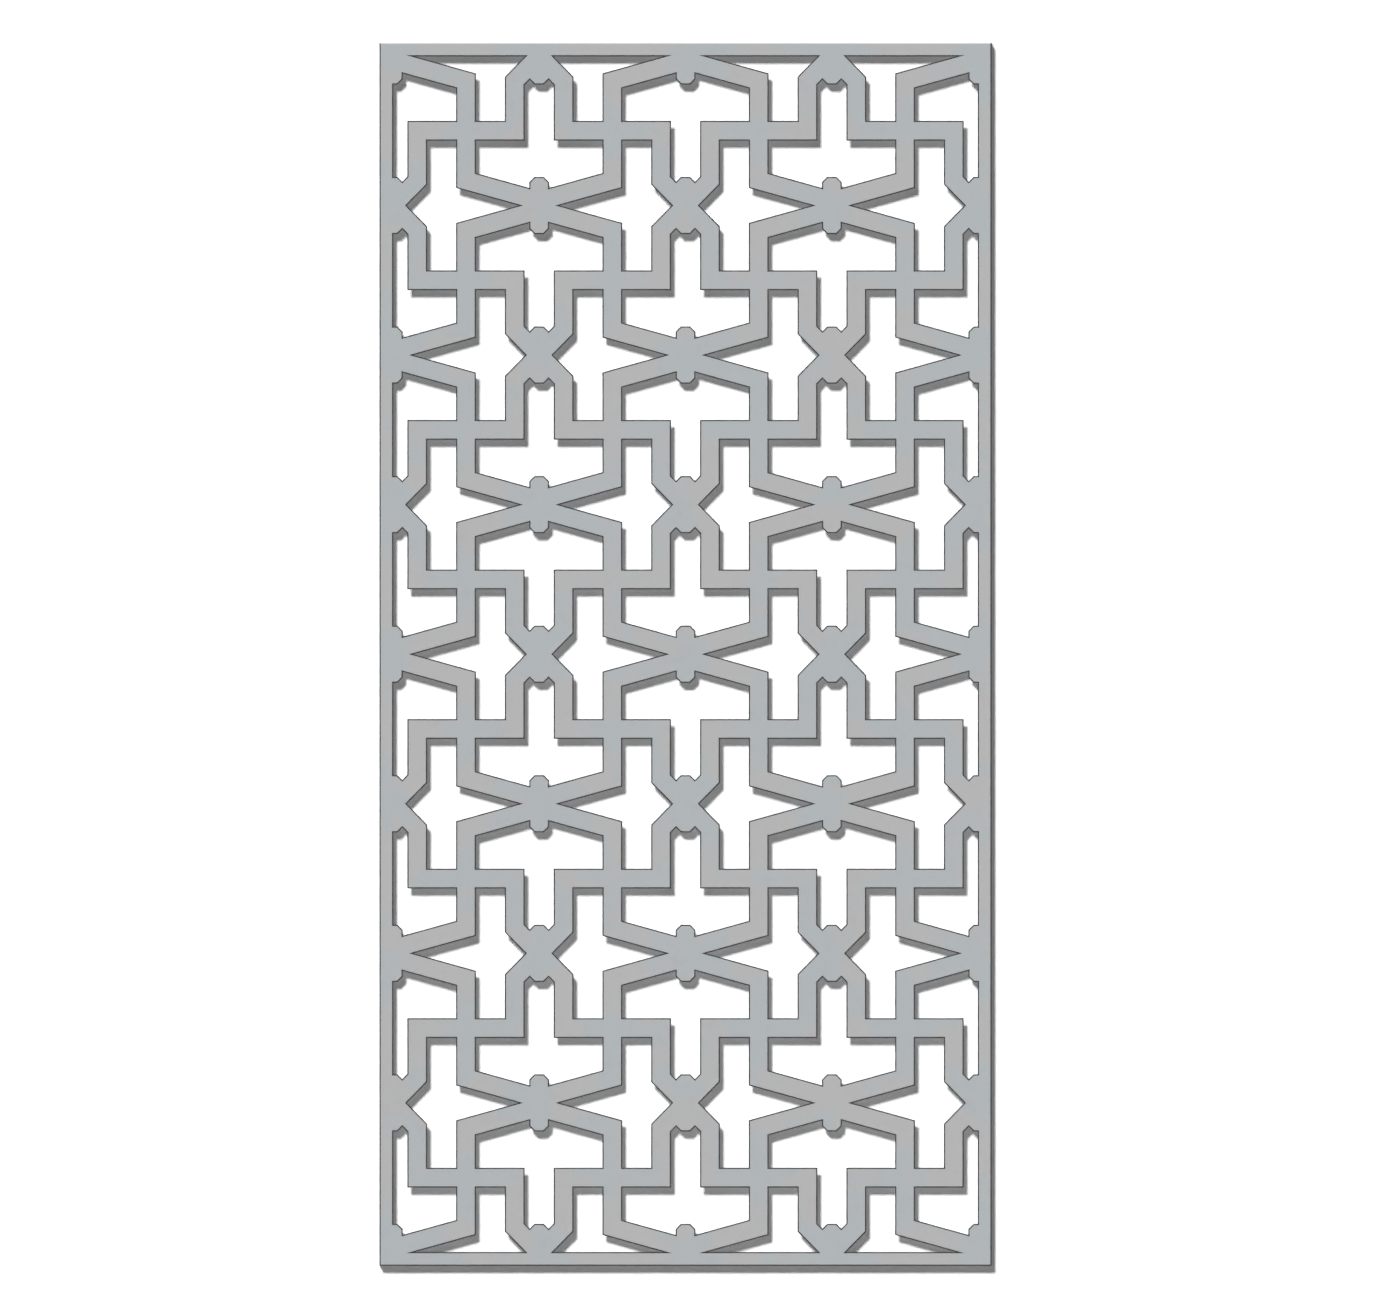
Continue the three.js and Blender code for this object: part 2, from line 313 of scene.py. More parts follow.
def fretwork_tree():
    """Repeats one cell over the sheet, each cell the mirror image of its neighbours."""
    tree = bpy.data.node_groups.new("fretwork", "GeometryNodeTree")
    tree.interface.new_socket("Screen", in_out="OUTPUT", socket_type="NodeSocketGeometry")
    tree.interface.new_socket("Cell", in_out="INPUT", socket_type="NodeSocketGeometry")
    for name in ("Columns", "Rows"):
        tree.interface.new_socket(name, in_out="INPUT", socket_type="NodeSocketInt")
    for name in ("Cell Width", "Cell Height", "Same Point"):
        tree.interface.new_socket(name, in_out="INPUT", socket_type="NodeSocketFloat")
    tree.interface.new_socket("Finish", in_out="INPUT", socket_type="NodeSocketMaterial")

    bench = Bench(tree)
    given = tree.nodes.new("NodeGroupInput").outputs
    columns, rows = Wire(bench, given["Columns"]), Wire(bench, given["Rows"])
    width, height = Wire(bench, given["Cell Width"]), Wire(bench, given["Cell Height"])
    centres = bench.node("GeometryNodeMeshGrid", values={
        "Size X": (columns - 1) * width,
        "Size Y": (rows - 1) * height,
        "Vertices X": columns,
        "Vertices Y": rows,
    })
    here = bench.node("GeometryNodeInputPosition")
    x = bench.node("ShaderNodeSeparateXYZ", values={0: here}, output="X")
    y = bench.node("ShaderNodeSeparateXYZ", values={0: here}, output="Y")
    column = x / width + (columns - 1) / 2
    row = (rows - 1) / 2 - y / height
    mirror = 1 - ((column + row).rounded() % 2) * 2
    cells = bench.node("GeometryNodeInstanceOnPoints", values={
        "Points": centres,
        "Instance": Wire(bench, given["Cell"]),
        "Scale": bench.node("ShaderNodeCombineXYZ", values={"X": mirror, "Y": 1.0, "Z": 1.0}),
    })
    metal = bench.node("GeometryNodeRealizeInstances", values={"Geometry": cells})
    facing = bench.node("GeometryNodeInputNormal")
    backwards = bench.node("ShaderNodeSeparateXYZ", values={0: facing}, output="Z") < 0
    metal = bench.node("GeometryNodeFlipFaces", values={"Mesh": metal, "Selection": backwards})
    metal = bench.node("GeometryNodeMergeByDistance", values={
        "Geometry": metal,
        "Distance": Wire(bench, given["Same Point"]),
    })
    metal = bench.node("GeometryNodeSetMaterial", values={
        "Geometry": metal,
        "Material": Wire(bench, given["Finish"]),
    })
    bench.join(metal, tree.nodes.new("NodeGroupOutput").inputs["Screen"])
    return tree


def grown(mesh, tree, **inputs):
    """The plain mesh that a Geometry Nodes tree makes from the given one."""
    mesh.materials.append(inputs["finish"])
    holder = bpy.data.objects.new("holder", mesh)
    bpy.context.scene.collection.objects.link(holder)
    modifier = holder.modifiers.new("tree", "NODES")
    modifier.node_group = tree
    for socket in tree.interface.items_tree:
        if socket.in_out == "INPUT" and socket.name.replace(" ", "_").lower() in inputs:
            modifier[socket.identifier] = inputs[socket.name.replace(" ", "_").lower()]
    evaluated = holder.evaluated_get(bpy.context.evaluated_depsgraph_get())
    made = bpy.data.meshes.new_from_object(evaluated)
    bpy.data.objects.remove(holder)
    return made


def add_border(metal):
    """Trims the flat fretwork to the border's inner edges, and adds the border around it."""
    sides = (Vector((0, -1, 0)), Vector((1, 0, 0)), Vector((0, 1, 0)), Vector((-1, 0, 0)))
    inner = Vector((SHEET_WIDTH / 2 - BORDER_WIDTH, SHEET_HEIGHT / 2 - BORDER_WIDTH, 0))
    rows = []
    for outwards in sides:
        everything = metal.verts[:] + metal.edges[:] + metal.faces[:]
        bmesh.ops.bisect_plane(
            metal, geom=everything, plane_co=inner * outwards, plane_no=outwards, clear_outer=True
        )
    for outwards in sides:
        along = Vector((-outwards.y, outwards.x, 0))
        reach = (inner * outwards).length
        row = [v for v in metal.verts if abs(v.co.dot(outwards) - reach) < SAME_POINT]
        rows.append(sorted(row, key=lambda v: v.co.dot(along)))
    rims = []
    for outwards, row in zip(sides, rows):
        rims.append([metal.verts.new(v.co + outwards * BORDER_WIDTH) for v in row])
    for k in range(4):
        row, rim, following = rows[k], rims[k], (k + 1) % 4
        for j in range(len(row) - 1):
            metal.faces.new((row[j], rim[j], rim[j + 1], row[j + 1]))
        tip = metal.verts.new(row[-1].co + (sides[k] + sides[following]) * BORDER_WIDTH)
        metal.faces.new((row[-1], rim[-1], tip, rims[following][0]))


def round_over(metal, faces, reach, fall, inwards):
    """Turns the rim of a flat side into a narrow sloping band of cut edge."""
    inset = bmesh.ops.inset_region(metal, faces=faces, thickness=reach, use_even_offset=True)
    band, flat = inset["faces"], set(faces)
    for v in {v for face in band for v in face.verts}:
        if flat.isdisjoint(v.link_faces):
            v.co += inwards * fall
    return band


def lattice_sheet():
    steel, edge = satin_steel(), laser_cut_edge()
    fretwork = grown(
        cell_mesh(), fretwork_tree(), columns=COLUMNS, rows=ROWS, cell_width=CELL_WIDTH,
        cell_height=CELL_HEIGHT, same_point=SAME_POINT, finish=steel,
    )
    metal = bmesh.new()
    metal.from_mesh(fretwork)
    add_border(metal)
    thickness = sheet_high.y - sheet_low.y
    front = metal.faces[:]
    everything = metal.verts[:] + metal.edges[:] + front
    raised = bmesh.ops.extrude_face_region(metal, geom=everything, use_keep_orig=True)["geom"]
    back = [item for item in raised if isinstance(item, bmesh.types.BMFace)]
    moved = [item for item in raised if isinstance(item, bmesh.types.BMVert)]
    bmesh.ops.translate(metal, verts=moved, vec=(0, 0, -thickness))
    bmesh.ops.recalc_face_normals(metal, faces=metal.faces[:])
    walls = [face for face in metal.faces if abs(face.normal.z) < 0.5]
    cut = walls + round_over(metal, front, *FRONT_EDGE, Vector((0, 0, -1)))
    cut += round_over(metal, back, *BACK_EDGE, Vector((0, 0, 1)))
    sheared_edge = SHEET_HEIGHT / 2 - FRONT_EDGE[0]
    # the cut walls and rounded bands take the near-black edge colour, partly painted shade; the
    # top edge keeps the face's colour
    for face in cut:
        if face.calc_center_median().y < sheared_edge:
            face.material_index = 1
    to_place = Matrix.Translation((0, sheet_low.y, (sheet_low.z + sheet_high.z) / 2))
    metal.transform(to_place @ Matrix.Rotation(math.pi / 2, 4, "X"))
    mesh = bpy.data.meshes.new("fretwork_sheet")
    metal.to_mesh(mesh)
    metal.free()
    return piece_from("fretwork_sheet", mesh, [steel, edge])


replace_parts(lattice_sheet(), "lattice_sheet")

# ---------------------------------------------------------------- weld studs
# Short M5 threaded studs in copper-flashed steel, shot on to the sheet's back by a welding gun.
# Each has a low collar at the weld. Those that also pass through a corner plate are longer by its
# thickness.

STUDS_ALONG = {
    side: sum(node.startswith(f"{side}_stud_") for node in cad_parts)
    for side in ("left", "right", "bottom", "top")
}
STUD_RADIUS = 0.0024
COLLAR_RADIUS = 0.00325
COLLAR_HEIGHT = 0.0009
COLLAR_ROUNDING = 0.00015
TIP_CHAMFER = 0.0006
THREAD_PITCH = 0.0008
THREAD_DEPTH = 0.0004
THREAD_CREST = 0.12  # the shares of the pitch that the crest's flat and the two flanks take up
THREAD_FLANKS = 0.66
THREAD_STEPS = 8  # rings of vertices in one pitch
STUD_SIDES = 16
CORNER_STUD_DISTANCE = 0.062  # the frame's outer corner to the nearest stud
STUD_LINE = 0.01575  # the frame's outer face to the row of studs
STUD_SEED = 3
CORNER_STUD_SEED = 4
SHARP = math.radians(35)


def copper_flash():
    """Thin copper plating, dulled here and there and worn through to the steel in specks."""
    copper = Finish("copper_flash")
    dulling = copper.noise(copper.place(), 420, detail=4, rough=0.6)
    worn = copper.ease(copper.noise(copper.place(), 2600, detail=2), 0.58, 0.72)
    plated = copper.mix(copper.ease(dulling, 0.35, 0.7), (0.72, 0.40, 0.27), (0.46, 0.23, 0.15))
    return copper.surface(
        base_color=copper.mix(worn * 0.6, plated, (0.55, 0.53, 0.51)),
        metallic=1.0,
        roughness=0.28 + 0.25 * dulling,
        normal=copper.relief(dulling, 0.00003),
    )


def ring(height, sides, radius_at):
    """Points around the Y axis, where radius_at gives the radius for each turn."""
    points = []
    for k in range(sides):
        turn = 2 * math.pi * k / sides
        radius = radius_at(turn)
        points.append((radius * math.cos(turn), height, radius * math.sin(turn)))
    return points


def round_ring(height, sides, radius):
    return ring(height, sides, lambda turn: radius)


def skinned(name, rings, through):
    """The surface over a row of rings, closed by two caps, or by its bore if it goes through."""
    mesh = bpy.data.meshes.new(name)
    sides = len(rings[0])
    faces = []
    for j in range(len(rings) if through else len(rings) - 1):
        low, high = j * sides, (j + 1) % len(rings) * sides
        for k in range(sides):
            following = (k + 1) % sides
            faces.append((low + k, low + following, high + following, high + k))
    if not through:
        faces += [range(sides), range((len(rings) - 1) * sides, len(rings) * sides)]
    mesh.from_pydata([point for points in rings for point in points], [], faces)
    finished = bmesh.new()
    finished.from_mesh(mesh)
    bmesh.ops.recalc_face_normals(finished, faces=finished.faces[:])
    finished.to_mesh(mesh)
    finished.free()
    return mesh


def stud_mesh(length):
    """A stud along +Y, from the face it is welded to."""
    tip_radius = STUD_RADIUS - TIP_CHAMFER

    def threaded(height):
        def radius_at(turn):
            phase = (height / THREAD_PITCH - turn / (2 * math.pi)) % 1
            groove = min(1, max(0, (abs(2 * phase - 1) - THREAD_CREST) / THREAD_FLANKS))
            return min(STUD_RADIUS - THREAD_DEPTH * groove, tip_radius + length - height)

        return radius_at

    rings = [
        round_ring(0, STUD_SIDES, COLLAR_RADIUS),
        round_ring(COLLAR_HEIGHT - COLLAR_ROUNDING, STUD_SIDES, COLLAR_RADIUS),
        round_ring(COLLAR_HEIGHT, STUD_SIDES, COLLAR_RADIUS - COLLAR_ROUNDING),
    ]
    steps = round((length - COLLAR_HEIGHT) / THREAD_PITCH * THREAD_STEPS)
    for k in range(steps + 1):
        height = COLLAR_HEIGHT + (length - COLLAR_HEIGHT) * k / steps
        rings.append(ring(height, STUD_SIDES, threaded(height)))
    return skinned("stud", rings, through=False)


def fastener_tree():
    """Sets one fastener in evenly spaced rows along all four sides, each turned at random."""
    tree = bpy.data.node_groups.new("fasteners", "GeometryNodeTree")
    tree.interface.new_socket("Fasteners", in_out="OUTPUT", socket_type="NodeSocketGeometry")
    tree.interface.new_socket("Fastener", in_out="INPUT", socket_type="NodeSocketGeometry")
    for name in ("Up A Side", "Along A Rail", "Seed"):
        tree.interface.new_socket(name, in_out="INPUT", socket_type="NodeSocketInt")
    sizes = ("Width", "Height", "Inset", "Side Start", "Rail Start", "Depth", "Turn")
    for name in sizes:
        tree.interface.new_socket(name, in_out="INPUT", socket_type="NodeSocketFloat")
    tree.interface.new_socket("Finish", in_out="INPUT", socket_type="NodeSocketMaterial")

    bench = Bench(tree)
    given = tree.nodes.new("NodeGroupInput").outputs
    up, along = Wire(bench, given["Up A Side"]), Wire(bench, given["Along A Rail"])
    width, height, inset, side_start, rail_start, depth, turn = [
        Wire(bench, given[name]) for name in sizes
    ]

    def row(count, x, z, step_x, step_z):
        return bench.node("GeometryNodeMeshLine", values={
            "Count": count,
            "Start Location": bench.node("ShaderNodeCombineXYZ", values={0: x, 1: depth, 2: z}),
            "Offset": bench.node("ShaderNodeCombineXYZ", values={0: step_x, 1: 0.0, 2: step_z}),
        })

    side_step = (height - side_start * 2) / (up - 1)
    rail_step = (width - rail_start * 2) / (along - 1)
    rows = [
        row(up, inset - width / 2, side_start, 0.0, side_step),
        row(up, width / 2 - inset, side_start, 0.0, side_step),
        row(along, rail_start - width / 2, inset, rail_step, 0.0),
        row(along, rail_start - width / 2, height - inset, rail_step, 0.0),
    ]
    places = tree.nodes.new("GeometryNodeJoinGeometry")
    for line in rows:
        tree.links.new(line.socket, places.inputs[0])
    spin = bench.node("FunctionNodeRandomValue", {"data_type": "FLOAT"}, {
        "Max": turn, "Seed": Wire(bench, given["Seed"]),
    }, output=1)
    set_in = bench.node("GeometryNodeInstanceOnPoints", values={
        "Points": Wire(bench, places.outputs[0]),
        "Instance": Wire(bench, given["Fastener"]),
        "Rotation": bench.node("ShaderNodeCombineXYZ", values={0: 0.0, 1: spin, 2: 0.0}),
    })
    metal = bench.node("GeometryNodeRealizeInstances", values={"Geometry": set_in})
    metal = bench.node("GeometryNodeSetMaterial", values={
        "Geometry": metal,
        "Material": Wire(bench, given["Finish"]),
    })
    bench.join(metal, tree.nodes.new("NodeGroupOutput").inputs["Fasteners"])
    return tree


def smooth(mesh):
    """Smooth shading, but for the edges where the surface turns sharply."""
    mesh.shade_smooth()
    mesh.set_sharp_from_angle(angle=SHARP)
    return mesh


def set_fasteners(name, motif, kind, at_corners, depth, material, turn, seed):
    """Sets a fastener at the corner places or at all the others, to stand for its nodes."""
    starts, counts, nodes = {}, {}, []
    for side, count in STUDS_ALONG.items():
        length = SHEET_HEIGHT if side in ("left", "right") else SHEET_WIDTH
        pitch = (length - 2 * CORNER_STUD_DISTANCE) / (count - 1)
        starts[side] = CORNER_STUD_DISTANCE + (0 if at_corners else pitch)
        counts[side] = 2 if at_corners else count - 2
        numbers = (1, count) if at_corners else range(2, count)
        nodes += [f"{side}_{kind}_{k}" for k in numbers]
    made = grown(
        motif, fastener_tree(), up_a_side=counts["left"], along_a_rail=counts["top"], seed=seed,
        width=SHEET_WIDTH, height=SHEET_HEIGHT, inset=STUD_LINE, side_start=starts["left"],
        rail_start=starts["top"], depth=depth, turn=turn, finish=material,
    )
    made.name = name
    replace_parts(piece_from(name, smooth(made), [material]), *nodes)


def weld_studs():
    copper = copper_flash()
    for name, at_corners in (("studs", False), ("corner_studs", True)):
        low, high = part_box("left_stud_1" if at_corners else "left_stud_2")
        stud = stud_mesh(high.y - low.y)
        seed = CORNER_STUD_SEED if at_corners else STUD_SEED
        set_fasteners(
            name, stud, "stud", at_corners, low.y, copper, 2 * math.pi, seed
        )


weld_studs()

# ---------------------------------------------------------------- frame of angles
# Four lengths of 25 x 25 x 3 mm rolled steel angle behind the sheet's border, mitred at the
# corners. The front flange has a clearance hole for each stud, and the side flange has screw
# holes for fixing the screen between posts. Mill finish, under a thin coat of lacquer.

ANGLE_LEG = 0.025
ANGLE_WALL = 0.003
ROOT_RADIUS = 0.0035
TOE_RADIUS = 0.001
TOE_STEPS = 5
ROOT_STEPS = 8
MITRE_GAP = 0.0004
HOLE_CLEARANCE = 0.0005
STUD_HOLE_RADIUS = COLLAR_RADIUS + HOLE_CLEARANCE
FIXING_HOLE_RADIUS = 0.00325
FIXING_HOLE_DEPTH = 0.014  # the angle's heel to the middle of the screw holes
HOLE_SIDES = 32
EDGE_ROUNDING = 0.0003
OVERRUN = 0.002  # a drill goes this far past what it cuts


def mill_steel():
    """Rolled steel: lengthwise marks, blue-grey scale in patches, and thin uneven lacquer."""
    steel = Finish("mill_steel")
    grain = steel.node("ShaderNodeAttribute", {"attribute_name": "grain"}, output="Vector")

    def drawn_out(share):
        """The place on the angle, with a pattern drawn out along its length."""
        values = {0: grain, 1: (1, 1, share)}
        return steel.node("ShaderNodeVectorMath", {"operation": "MULTIPLY"}, values)

    rolling = steel.noise(drawn_out(0.01), 1400, detail=3, rough=0.65)
    scale = steel.noise(drawn_out(0.25), 75, detail=5, rough=0.65)
    lacquer = steel.noise(drawn_out(0.5), 22, detail=3)
    bare = steel.mix(steel.ease(rolling, 0.3, 0.75), (0.36, 0.365, 0.37), (0.47, 0.475, 0.48))
    scaled = steel.mix(steel.ease(scale, 0.52, 0.68) * 0.7, bare, (0.22, 0.235, 0.26))
    return steel.surface(
        base_color=scaled,
        metallic=0.75,
        roughness=0.34 + 0.22 * scale - 0.1 * steel.ease(lacquer, 0.5, 0.62),
        normal=steel.relief(rolling + 0.6 * scale, 0.00005),
    )


def arc(centre, radius, start, end, steps):
    """Points on an arc, with its angles in quarter turns."""
    points = []
    for k in range(steps + 1):
        turn = (start + (end - start) * k / steps) * math.pi / 2
        points.append((centre[0] + radius * math.cos(turn), centre[1] + radius * math.sin(turn)))
    return points


def angle_section():
    """The angle's outline: inwards from its outer face, and backwards from the sheet."""
    toe, toe_face, root = ANGLE_LEG - TOE_RADIUS, ANGLE_WALL - TOE_RADIUS, ANGLE_WALL + ROOT_RADIUS
    return [
        (0, 0),
        (ANGLE_LEG, 0),
        *arc((toe, toe_face), TOE_RADIUS, 0, 1, TOE_STEPS),
        *arc((root, root), ROOT_RADIUS, 3, 2, ROOT_STEPS),
        *arc((toe_face, toe), TOE_RADIUS, 0, 1, TOE_STEPS),
        (0, ANGLE_LEG),
    ]


def prism(outline, low, high, axis):
    """A flat outline made solid along Z, or along Y with the outline's second number along Z."""
    solid = bmesh.new()
    if axis == "Z":
        corners = [solid.verts.new((a, b, low)) for a, b in outline]
    else:
        corners = [solid.verts.new((a, low, b)) for a, b in outline]
    solid.faces.new(corners)
    raised = bmesh.ops.extrude_face_region(solid, geom=solid.faces[:], use_keep_orig=True)["geom"]
    rise = Vector((0, 0, high - low)) if axis == "Z" else Vector((0, high - low, 0))
    moved = [item for item in raised if isinstance(item, bmesh.types.BMVert)]
    bmesh.ops.translate(solid, verts=moved, vec=rise)
    bmesh.ops.recalc_face_normals(solid, faces=solid.faces[:])
    return solid


def finished_mesh(name, solid, drills):
    """Cuts the drills out of a solid and rounds its sharp edges. A drill is its start and end."""
    mesh, cutter_mesh = bpy.data.meshes.new(name), bpy.data.meshes.new("drills")
    solid.to_mesh(mesh)
    solid.free()
    cutter = bmesh.new()
    for start, end, radius in drills:
        along = end - start
        turned = along.to_track_quat("Z", "Y").to_matrix().to_4x4()
        bmesh.ops.create_cone(
            cutter, cap_ends=True, segments=HOLE_SIDES, radius1=radius, radius2=radius,
            depth=along.length, matrix=Matrix.Translation((start + end) / 2) @ turned,
        )
    cutter.to_mesh(cutter_mesh)
    cutter.free()
    blank, drill = bpy.data.objects.new(name, mesh), bpy.data.objects.new("drills", cutter_mesh)
    for item in (blank, drill):
        bpy.context.scene.collection.objects.link(item)
    cut = blank.modifiers.new("drilled", "BOOLEAN")
    cut.operation = "DIFFERENCE"
    cut.solver = "EXACT"
    cut.object = drill
    rounding = blank.modifiers.new("rounded", "BEVEL")
    rounding.width = EDGE_ROUNDING
    rounding.segments = 2
    rounding.limit_method = "ANGLE"
    rounding.angle_limit = SHARP
    evaluated = blank.evaluated_get(bpy.context.evaluated_depsgraph_get())
    made = bpy.data.meshes.new_from_object(evaluated)
    for item in (blank, drill):
        bpy.data.objects.remove(item)
    made.name = name
    return smooth(made)


def angle_mesh(length, count):
    """One angle about its middle: X inwards from its outer face, Y backwards, Z along it."""
    body = prism(angle_section(), -length / 2, length / 2, "Z")
    setback = MITRE_GAP / math.sqrt(2)
    for end in (-1, 1):
        cut_at = Vector((0, 0, end * (length / 2 - setback)))
        everything = body.verts[:] + body.edges[:] + body.faces[:]
        cut = bmesh.ops.bisect_plane(
            body, geom=everything, plane_co=cut_at, plane_no=(1, 0, end), clear_outer=True
        )["geom_cut"]
        rim = [item for item in cut if isinstance(item, bmesh.types.BMEdge)]
        bmesh.ops.contextual_create(body, geom=rim)
    bmesh.ops.recalc_face_normals(body, faces=body.faces[:])
    pitch = (length - 2 * CORNER_STUD_DISTANCE) / (count - 1)
    first = CORNER_STUD_DISTANCE - length / 2
    stroke = ANGLE_WALL + 2 * OVERRUN
    drills = []
    for k in range(count):
        start = Vector((STUD_LINE, -OVERRUN, first + k * pitch))
        drills.append((start, start + Vector((0, stroke, 0)), STUD_HOLE_RADIUS))
    for k in range(count - 1):
        start = Vector((-OVERRUN, FIXING_HOLE_DEPTH, first + (k + 0.5) * pitch))
        drills.append((start, start + Vector((stroke, 0, 0)), FIXING_HOLE_RADIUS))
    return finished_mesh("angle", body, drills)


def frame_of_angles():
    steel = mill_steel()
    middle = SHEET_HEIGHT / 2
    seats = {
        "left": ((-SHEET_WIDTH / 2, middle), 0, SHEET_HEIGHT),
        "right": ((SHEET_WIDTH / 2, middle), 2, SHEET_HEIGHT),
        "bottom": ((0, 0), -1, SHEET_WIDTH),
        "top": ((0, SHEET_HEIGHT), 1, SHEET_WIDTH),
    }
    for side, ((x, z), quarters, length) in seats.items():
        mesh = angle_mesh(length, STUDS_ALONG[side])
        grain = mesh.attributes.new("grain", "FLOAT_VECTOR", "POINT")
        for vertex, mark in zip(mesh.vertices, grain.data):
            mark.vector = vertex.co + Vector((0, quarters, 0))
        to_place = Matrix.Translation((x, sheet_high.y, z))
        mesh.transform(to_place @ Matrix.Rotation(quarters * math.pi / 2, 4, "Y"))
        made = piece_from(f"{side}_steel_angle", mesh, [steel])
        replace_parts(made, f"{side}_angle")


frame_of_angles()

# ---------------------------------------------------------------- corner plates
# Flat L plates, cut from 3 mm galvanised sheet, that bridge the frame's mitres. Each goes over two
# studs and lies on the angles' front flanges, clear of their root fillets.

PLATE_ARM = 0.095
FILLET_CLEARANCE = 0.0005
PLATE_NEAR = ANGLE_WALL + ROOT_RADIUS + FILLET_CLEARANCE  # the outer face to the plate's edge
PLATE_CORNER_RADIUS = 0.004
PLATE_HOLE_RADIUS = STUD_RADIUS + HOLE_CLEARANCE
ARC_STEPS = 8


def galvanised_sheet():
    """Zinc coat: crystals of slightly different greys, with soft white bloom over them."""
    zinc = Finish("galvanised_sheet")
    wander = zinc.node("ShaderNodeTexNoise", values={
        "Vector": zinc.place(), "Scale": 160.0, "Detail": 2.0,
    }, output="Color")
    ragged = zinc.node("ShaderNodeVectorMath", {"operation": "MULTIPLY_ADD"}, {
        0: wander, 1: (0.004, 0.004, 0.004), 2: zinc.place(),
    })
    crystals = {"Vector": ragged, "Scale": 165.0}
    tint = zinc.node("ShaderNodeTexVoronoi", values=crystals, output="Color")
    grey = zinc.node("ShaderNodeSeparateXYZ", values={0: tint}, output="X")
    bloom = zinc.noise(zinc.place(), 45, detail=4, rough=0.6)
    crystal = zinc.mix(grey, (0.40, 0.41, 0.42), (0.58, 0.59, 0.595))
    return zinc.surface(
        base_color=zinc.mix(zinc.ease(bloom, 0.55, 0.75) * 0.5, crystal, (0.64, 0.65, 0.65)),
        metallic=0.8,
        roughness=0.3 + 0.2 * grey + 0.1 * bloom,
        normal=zinc.relief(grey, 0.00002),
    )


def corner_plate_mesh(thickness):
    """One plate: X and Z are the distances inwards from the frame's outer faces."""
    near, far, r = PLATE_NEAR, ANGLE_LEG, PLATE_CORNER_RADIUS
    outline = [
        (near, near),
        *arc((PLATE_ARM - r, near + r), r, 3, 4, ARC_STEPS),
        *arc((PLATE_ARM - r, far - r), r, 0, 1, ARC_STEPS),
        *arc((far + r, far + r), r, 3, 2, ARC_STEPS),
        *arc((far - r, PLATE_ARM - r), r, 0, 1, ARC_STEPS),
        *arc((near + r, PLATE_ARM - r), r, 1, 2, ARC_STEPS),
    ]
    drills = []
    for x, z in ((CORNER_STUD_DISTANCE, STUD_LINE), (STUD_LINE, CORNER_STUD_DISTANCE)):
        start, end = Vector((x, -OVERRUN, z)), Vector((x, thickness + OVERRUN, z))
        drills.append((start, end, PLATE_HOLE_RADIUS))
    return finished_mesh("corner_plate", prism(outline, 0, thickness, "Y"), drills)


def corner_plates():
    zinc = galvanised_sheet()
    corners = {
        "bottom_left": ((-SHEET_WIDTH / 2, 0), 0),
        "bottom_right": ((SHEET_WIDTH / 2, 0), -1),
        "top_right": ((SHEET_WIDTH / 2, SHEET_HEIGHT), 2),
        "top_left": ((-SHEET_WIDTH / 2, SHEET_HEIGHT), 1),
    }
    for corner, ((x, z), quarters) in corners.items():
        low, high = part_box(f"corner_plate_{corner}")
        mesh = corner_plate_mesh(high.y - low.y)
        to_place = Matrix.Translation((x, low.y, z))
        mesh.transform(to_place @ Matrix.Rotation(quarters * math.pi / 2, 4, "Y"))
        made = piece_from(f"galvanised_plate_{corner}", mesh, [zinc])
        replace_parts(made, f"corner_plate_{corner}")


corner_plates()

# ---------------------------------------------------------------- flange nuts
# M5 hexagon flange nuts, bright zinc plated, run down on the studs. They clamp the frame to the
# sheet, and the corner ones sit on the plates.

NUT_ACROSS_FLATS = 0.008
NUT_HEIGHT = 0.005
NUT_SIDES = 48
NUT_BORE_RADIUS = 0.0027
BORE_CHAMFER = 0.0004
FLANGE_RADIUS = 0.0059
FLANGE_RIM = 0.0006
FLANGE_HEIGHT = 0.0013
FLANGE_ROUNDING = 0.00015
TOP_FLAT_RADIUS = 0.0039  # the round flat left on top by the nut's corner chamfer
TOP_SLOPE = math.tan(math.radians(60))
CORNER_ROUNDING = 0.00008
SLOPE_STEPS = 6
CHAMFER_STEPS = 5
NUT_SEED = 11
CORNER_NUT_SEED = 12


def bright_zinc():
    """Clear-passivated zinc: bright, faintly blue and straw in turn, scuffed by the spanner."""
    zinc = Finish("bright_zinc")
    film = zinc.noise(zinc.place(), 330, detail=3)
    scuffs = zinc.ease(zinc.noise(zinc.place((1, 0.2, 1)), 2400, detail=3, rough=0.7), 0.55, 0.75)
    tinted = zinc.mix(zinc.ease(film, 0.35, 0.65), (0.70, 0.735, 0.78), (0.78, 0.765, 0.71))
    return zinc.surface(
        base_color=zinc.mix(scuffs * 0.5, tinted, (0.56, 0.57, 0.58)),
        metallic=1.0,
        roughness=0.2 + 0.2 * scuffs + 0.08 * film,
        normal=zinc.relief(scuffs, 0.00002),
    )


